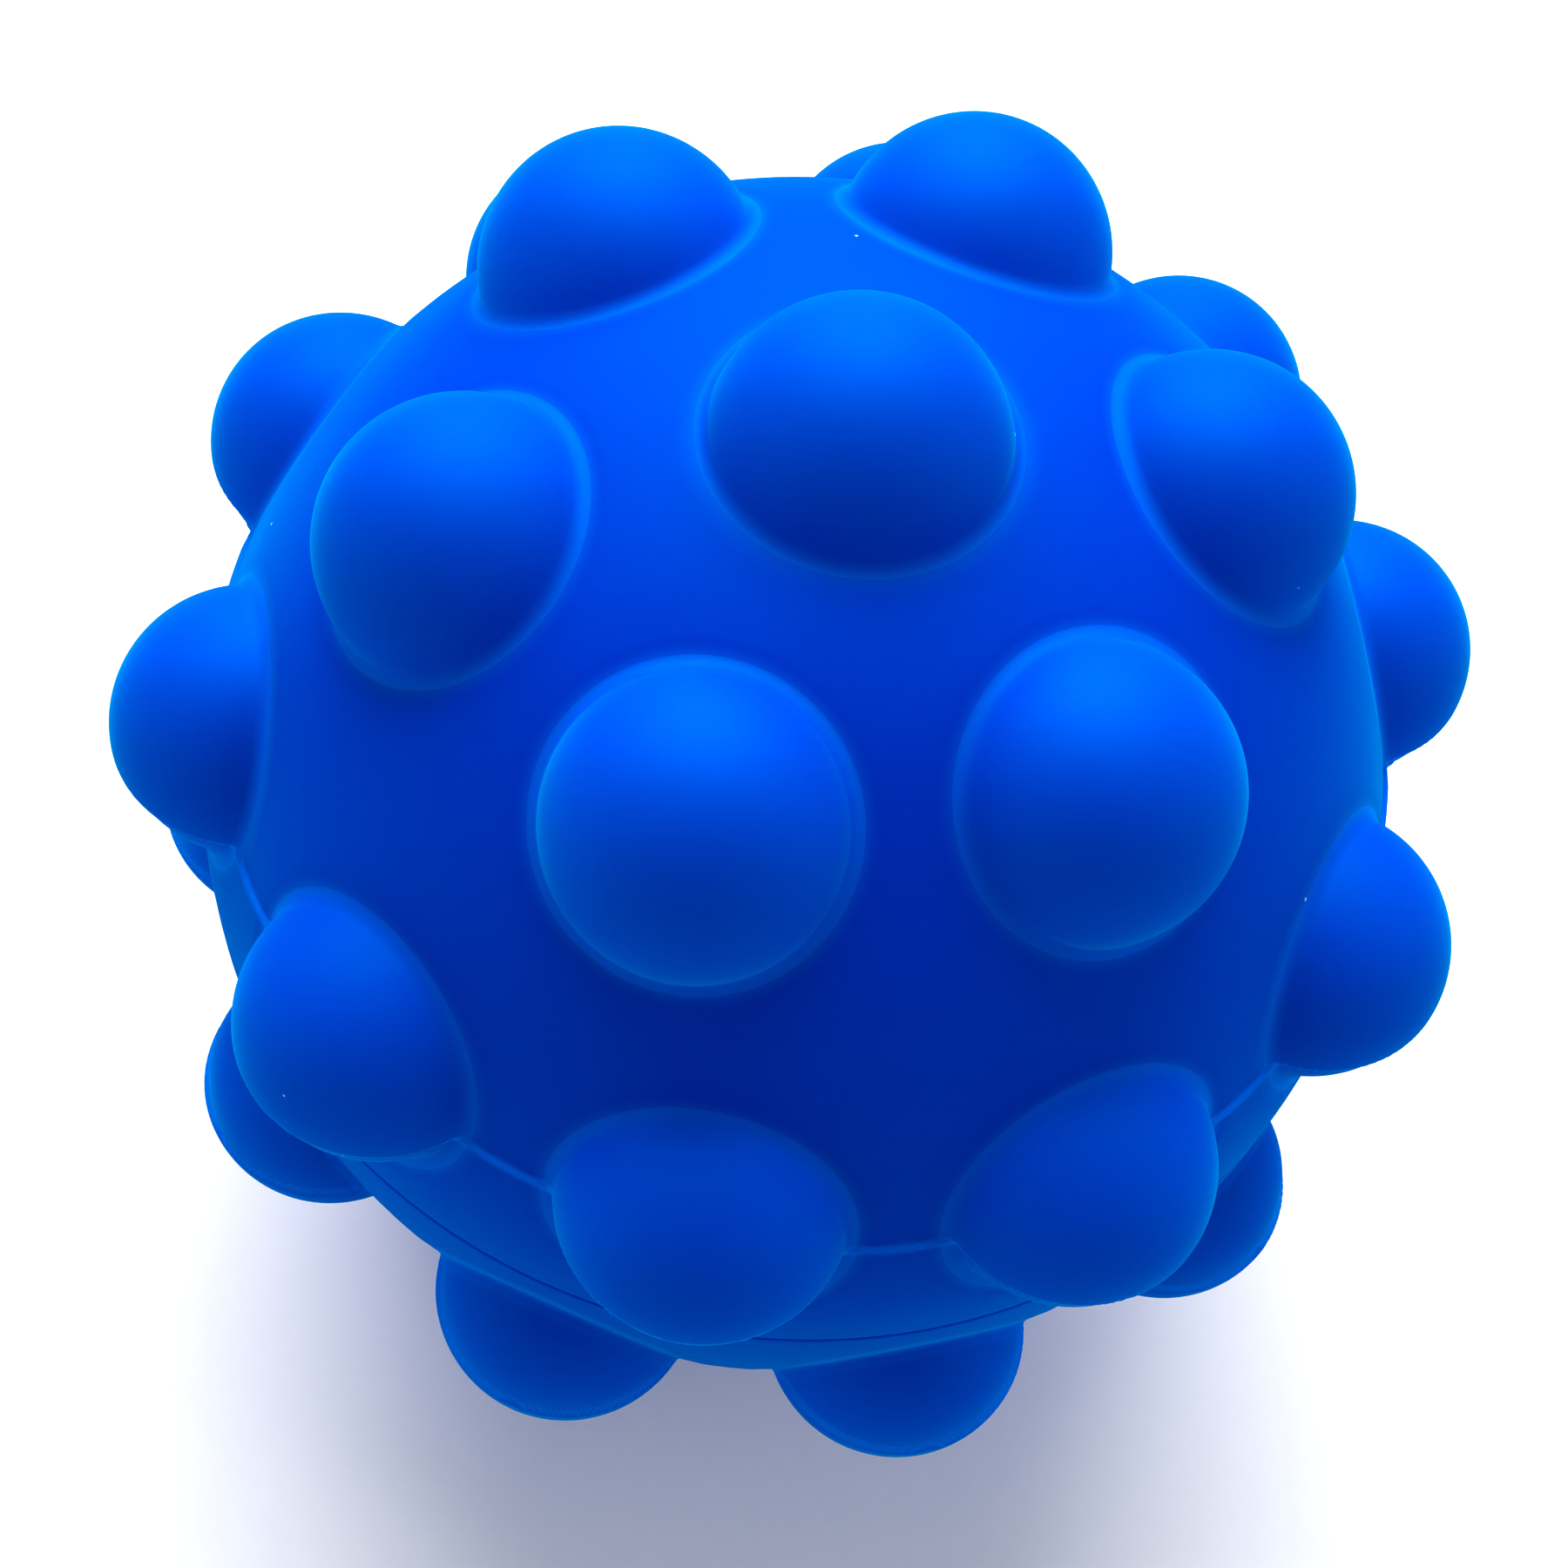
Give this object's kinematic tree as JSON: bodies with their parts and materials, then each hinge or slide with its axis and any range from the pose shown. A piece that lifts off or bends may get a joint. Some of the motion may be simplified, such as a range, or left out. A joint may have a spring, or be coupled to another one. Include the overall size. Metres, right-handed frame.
{
  "type": "stress ball",
  "caption": "Hollow silicone stress ball made of two moulded halves, covered in round bubbles that each push in through the wall and pop back out.",
  "frame": {"origin": "centre of the ball, in the plane of the seam between the two halves", "axes": "+Z through the upper pole bubble, -Y through upper_outer_bubble_1 seen from above, X to its right"},
  "size_m": [0.068, 0.0682, 0.0726],
  "materials": {
    "shell": "matte blue silicone with a soft sheen",
    "bubble": "matte blue silicone with a soft sheen, thinner and slightly lighter",
    "adhesive": "cured silicone adhesive"
  },
  "bodies": {
    "ball": {"upper_half": "shell", "lower_half": "shell", "bond_bead": "adhesive"},
    "upper_pole_bubble": {"upper_pole_bubble": "bubble"},
    "upper_inner_bubble_1": {"upper_inner_bubble_1": "bubble"},
    "upper_inner_bubble_2": {"upper_inner_bubble_2": "bubble"},
    "upper_inner_bubble_3": {"upper_inner_bubble_3": "bubble"},
    "upper_inner_bubble_4": {"upper_inner_bubble_4": "bubble"},
    "upper_inner_bubble_5": {"upper_inner_bubble_5": "bubble"},
    "upper_inner_bubble_6": {"upper_inner_bubble_6": "bubble"},
    "upper_outer_bubble_1": {"upper_outer_bubble_1": "bubble"},
    "upper_outer_bubble_2": {"upper_outer_bubble_2": "bubble"},
    "upper_outer_bubble_3": {"upper_outer_bubble_3": "bubble"},
    "upper_outer_bubble_4": {"upper_outer_bubble_4": "bubble"},
    "upper_outer_bubble_5": {"upper_outer_bubble_5": "bubble"},
    "upper_outer_bubble_6": {"upper_outer_bubble_6": "bubble"},
    "upper_outer_bubble_7": {"upper_outer_bubble_7": "bubble"},
    "upper_outer_bubble_8": {"upper_outer_bubble_8": "bubble"},
    "upper_outer_bubble_9": {"upper_outer_bubble_9": "bubble"},
    "upper_outer_bubble_10": {"upper_outer_bubble_10": "bubble"},
    "lower_pole_bubble": {"lower_pole_bubble": "bubble"},
    "lower_inner_bubble_1": {"lower_inner_bubble_1": "bubble"},
    "lower_inner_bubble_2": {"lower_inner_bubble_2": "bubble"},
    "lower_inner_bubble_3": {"lower_inner_bubble_3": "bubble"},
    "lower_inner_bubble_4": {"lower_inner_bubble_4": "bubble"},
    "lower_inner_bubble_5": {"lower_inner_bubble_5": "bubble"},
    "lower_inner_bubble_6": {"lower_inner_bubble_6": "bubble"},
    "lower_outer_bubble_1": {"lower_outer_bubble_1": "bubble"},
    "lower_outer_bubble_2": {"lower_outer_bubble_2": "bubble"},
    "lower_outer_bubble_3": {"lower_outer_bubble_3": "bubble"},
    "lower_outer_bubble_4": {"lower_outer_bubble_4": "bubble"},
    "lower_outer_bubble_5": {"lower_outer_bubble_5": "bubble"},
    "lower_outer_bubble_6": {"lower_outer_bubble_6": "bubble"},
    "lower_outer_bubble_7": {"lower_outer_bubble_7": "bubble"},
    "lower_outer_bubble_8": {"lower_outer_bubble_8": "bubble"},
    "lower_outer_bubble_9": {"lower_outer_bubble_9": "bubble"},
    "lower_outer_bubble_10": {"lower_outer_bubble_10": "bubble"}
  },
  "joints": [
    {"name": "upper_pole_bubble_pop", "type": "slide", "parent": "ball", "child": "upper_pole_bubble", "axis": [0, 0, -1], "range_m": [0, 0.0131]},
    {"name": "upper_inner_bubble_1_pop", "type": "slide", "parent": "ball", "child": "upper_inner_bubble_1", "axis": [0.118, 0.5801, -0.8059], "range_m": [0, 0.0131]},
    {"name": "upper_inner_bubble_2_pop", "type": "slide", "parent": "ball", "child": "upper_inner_bubble_2", "axis": [-0.4434, 0.3923, -0.8059], "range_m": [0, 0.0131]},
    {"name": "upper_inner_bubble_3_pop", "type": "slide", "parent": "ball", "child": "upper_inner_bubble_3", "axis": [-0.5614, -0.1878, -0.8059], "range_m": [0, 0.0131]},
    {"name": "upper_inner_bubble_4_pop", "type": "slide", "parent": "ball", "child": "upper_inner_bubble_4", "axis": [-0.118, -0.5801, -0.8059], "range_m": [0, 0.0131]},
    {"name": "upper_inner_bubble_5_pop", "type": "slide", "parent": "ball", "child": "upper_inner_bubble_5", "axis": [0.4434, -0.3923, -0.8059], "range_m": [0, 0.0131]},
    {"name": "upper_inner_bubble_6_pop", "type": "slide", "parent": "ball", "child": "upper_inner_bubble_6", "axis": [0.5614, 0.1878, -0.8059], "range_m": [0, 0.0131]},
    {"name": "upper_outer_bubble_1_pop", "type": "slide", "parent": "ball", "child": "upper_outer_bubble_1", "axis": [0, 0.9563, -0.2924], "range_m": [0, 0.0131]},
    {"name": "upper_outer_bubble_2_pop", "type": "slide", "parent": "ball", "child": "upper_outer_bubble_2", "axis": [-0.5621, 0.7737, -0.2924], "range_m": [0, 0.0131]},
    {"name": "upper_outer_bubble_3_pop", "type": "slide", "parent": "ball", "child": "upper_outer_bubble_3", "axis": [-0.9095, 0.2955, -0.2924], "range_m": [0, 0.0131]},
    {"name": "upper_outer_bubble_4_pop", "type": "slide", "parent": "ball", "child": "upper_outer_bubble_4", "axis": [-0.9095, -0.2955, -0.2924], "range_m": [0, 0.0131]},
    {"name": "upper_outer_bubble_5_pop", "type": "slide", "parent": "ball", "child": "upper_outer_bubble_5", "axis": [-0.5621, -0.7737, -0.2924], "range_m": [0, 0.0131]},
    {"name": "upper_outer_bubble_6_pop", "type": "slide", "parent": "ball", "child": "upper_outer_bubble_6", "axis": [0, -0.9563, -0.2924], "range_m": [0, 0.0131]},
    {"name": "upper_outer_bubble_7_pop", "type": "slide", "parent": "ball", "child": "upper_outer_bubble_7", "axis": [0.5621, -0.7737, -0.2924], "range_m": [0, 0.0131]},
    {"name": "upper_outer_bubble_8_pop", "type": "slide", "parent": "ball", "child": "upper_outer_bubble_8", "axis": [0.9095, -0.2955, -0.2924], "range_m": [0, 0.0131]},
    {"name": "upper_outer_bubble_9_pop", "type": "slide", "parent": "ball", "child": "upper_outer_bubble_9", "axis": [0.9095, 0.2955, -0.2924], "range_m": [0, 0.0131]},
    {"name": "upper_outer_bubble_10_pop", "type": "slide", "parent": "ball", "child": "upper_outer_bubble_10", "axis": [0.5621, 0.7737, -0.2924], "range_m": [0, 0.0131]},
    {"name": "lower_pole_bubble_pop", "type": "slide", "parent": "ball", "child": "lower_pole_bubble", "axis": [0, 0, 1], "range_m": [0, 0.0131]},
    {"name": "lower_inner_bubble_1_pop", "type": "slide", "parent": "ball", "child": "lower_inner_bubble_1", "axis": [0.3396, -0.4849, 0.8059], "range_m": [0, 0.0131]},
    {"name": "lower_inner_bubble_2_pop", "type": "slide", "parent": "ball", "child": "lower_inner_bubble_2", "axis": [-0.2502, -0.5365, 0.8059], "range_m": [0, 0.0131]},
    {"name": "lower_inner_bubble_3_pop", "type": "slide", "parent": "ball", "child": "lower_inner_bubble_3", "axis": [-0.5898, -0.0516, 0.8059], "range_m": [0, 0.0131]},
    {"name": "lower_inner_bubble_4_pop", "type": "slide", "parent": "ball", "child": "lower_inner_bubble_4", "axis": [-0.3396, 0.4849, 0.8059], "range_m": [0, 0.0131]},
    {"name": "lower_inner_bubble_5_pop", "type": "slide", "parent": "ball", "child": "lower_inner_bubble_5", "axis": [0.2502, 0.5365, 0.8059], "range_m": [0, 0.0131]},
    {"name": "lower_inner_bubble_6_pop", "type": "slide", "parent": "ball", "child": "lower_inner_bubble_6", "axis": [0.5898, 0.0516, 0.8059], "range_m": [0, 0.0131]},
    {"name": "lower_outer_bubble_1_pop", "type": "slide", "parent": "ball", "child": "lower_outer_bubble_1", "axis": [0.3813, -0.877, 0.2924], "range_m": [0, 0.0131]},
    {"name": "lower_outer_bubble_2_pop", "type": "slide", "parent": "ball", "child": "lower_outer_bubble_2", "axis": [-0.207, -0.9336, 0.2924], "range_m": [0, 0.0131]},
    {"name": "lower_outer_bubble_3_pop", "type": "slide", "parent": "ball", "child": "lower_outer_bubble_3", "axis": [-0.7162, -0.6337, 0.2924], "range_m": [0, 0.0131]},
    {"name": "lower_outer_bubble_4_pop", "type": "slide", "parent": "ball", "child": "lower_outer_bubble_4", "axis": [-0.9519, -0.0917, 0.2924], "range_m": [0, 0.0131]},
    {"name": "lower_outer_bubble_5_pop", "type": "slide", "parent": "ball", "child": "lower_outer_bubble_5", "axis": [-0.824, 0.4854, 0.2924], "range_m": [0, 0.0131]},
    {"name": "lower_outer_bubble_6_pop", "type": "slide", "parent": "ball", "child": "lower_outer_bubble_6", "axis": [-0.3813, 0.877, 0.2924], "range_m": [0, 0.0131]},
    {"name": "lower_outer_bubble_7_pop", "type": "slide", "parent": "ball", "child": "lower_outer_bubble_7", "axis": [0.207, 0.9336, 0.2924], "range_m": [0, 0.0131]},
    {"name": "lower_outer_bubble_8_pop", "type": "slide", "parent": "ball", "child": "lower_outer_bubble_8", "axis": [0.7162, 0.6337, 0.2924], "range_m": [0, 0.0131]},
    {"name": "lower_outer_bubble_9_pop", "type": "slide", "parent": "ball", "child": "lower_outer_bubble_9", "axis": [0.9519, 0.0917, 0.2924], "range_m": [0, 0.0131]},
    {"name": "lower_outer_bubble_10_pop", "type": "slide", "parent": "ball", "child": "lower_outer_bubble_10", "axis": [0.824, -0.4854, 0.2924], "range_m": [0, 0.0131]}
  ]
}
